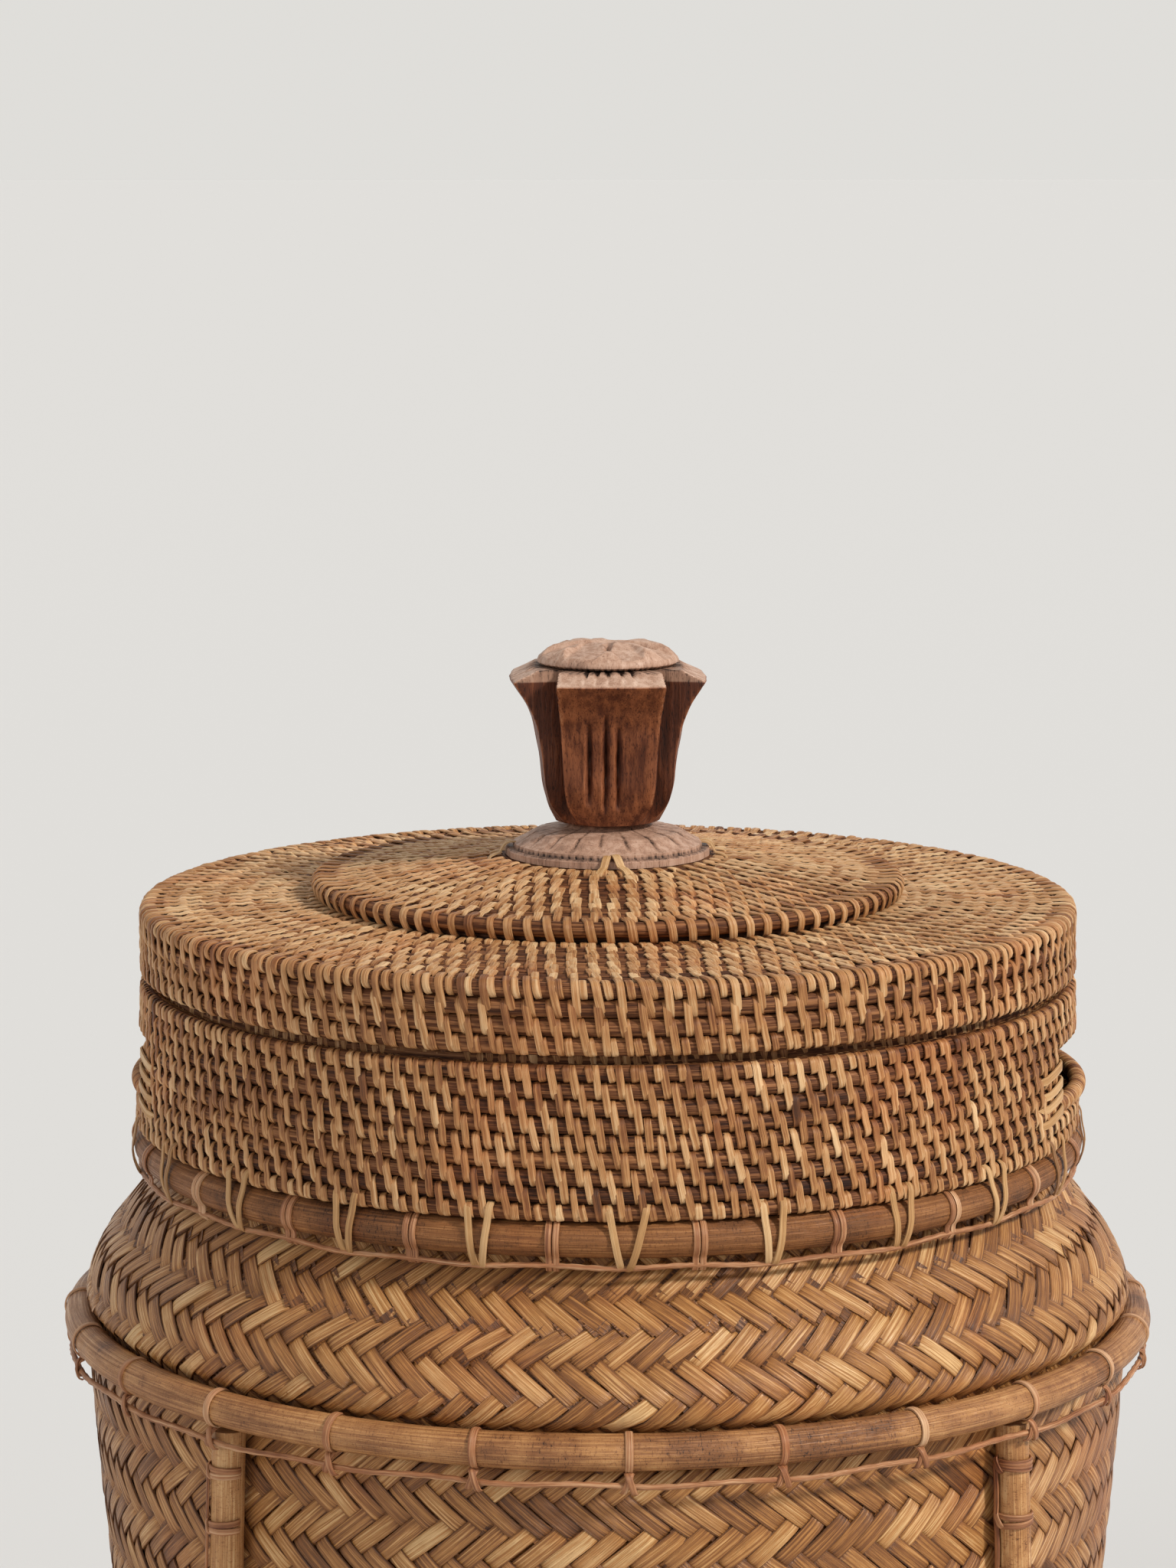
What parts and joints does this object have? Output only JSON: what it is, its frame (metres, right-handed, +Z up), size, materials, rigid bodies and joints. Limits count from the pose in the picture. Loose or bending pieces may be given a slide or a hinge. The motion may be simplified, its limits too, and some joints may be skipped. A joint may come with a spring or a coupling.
{
  "type": "lidded fishing basket",
  "caption": "Woven bamboo basket, square at the base and round at the neck, with cane hoops, corner posts, a coiled collar with hand holes and a lift-off lid with a carved knob.",
  "frame": {"origin": "centre of the base on the surface the basket stands on", "axes": "+Z up out of the lid's knob, -Y towards the front between two corner posts, +X to the right seen from the front, within 6 degrees of the right-hand hand hole"},
  "size_m": [0.3558, 0.3558, 0.4232],
  "materials": {
    "woven_bamboo": "satin, fibrous split bamboo, honey brown, twill woven",
    "split_bamboo": "satin split bamboo",
    "whole_cane": "smooth tan cane with dark specks, low gloss",
    "coiled_rattan": "stitched golden brown rattan with darker core canes",
    "wound_rattan": "close wound split rattan, reddish brown, satin",
    "pale_rattan": "pale split rattan, satin",
    "lashing_strand": "reddish brown twisted rattan strand, satin",
    "carved_wood": "hand carved reddish brown hardwood, matt with worn edges"
  },
  "bodies": {
    "basket": {"body_wall": "woven_bamboo", "base_panel": "woven_bamboo", "base_slat_lower": "split_bamboo", "base_slat_upper": "split_bamboo", "base_hoop": "whole_cane", "mid_hoop": "whole_cane", "mid_hoop_inner": "split_bamboo", "neck_hoop": "whole_cane", "neck_hoop_inner": "split_bamboo", "post_1": "whole_cane", "post_2": "whole_cane", "post_3": "whole_cane", "post_4": "whole_cane", "neck_collar": "coiled_rattan", "neck_lip": "coiled_rattan", "grip_left": "wound_rattan", "grip_right": "wound_rattan", "binding_left_back": "pale_rattan", "binding_left_front": "pale_rattan", "binding_right_back": "pale_rattan", "binding_right_front": "pale_rattan", "mid_hoop_lashing": "lashing_strand", "neck_hoop_lashing": "lashing_strand", "post_lashing_1": "lashing_strand", "post_lashing_2": "lashing_strand", "post_lashing_3": "lashing_strand", "post_lashing_4": "lashing_strand"},
    "lid": {"lid_skirt": "coiled_rattan", "lid_brim": "coiled_rattan", "lid_crown": "coiled_rattan", "lid_rim_cane": "wound_rattan", "lid_crown_cane": "wound_rattan", "knob": "carved_wood", "knob_tie_back": "pale_rattan", "knob_tie_front": "pale_rattan", "knob_tie_left": "pale_rattan", "knob_tie_right": "pale_rattan"}
  },
  "joints": [
    {"name": "lid_lift", "type": "slide", "parent": "basket", "child": "lid", "axis": [0, 0, 1], "range_m": [0, 0.12]}
  ]
}
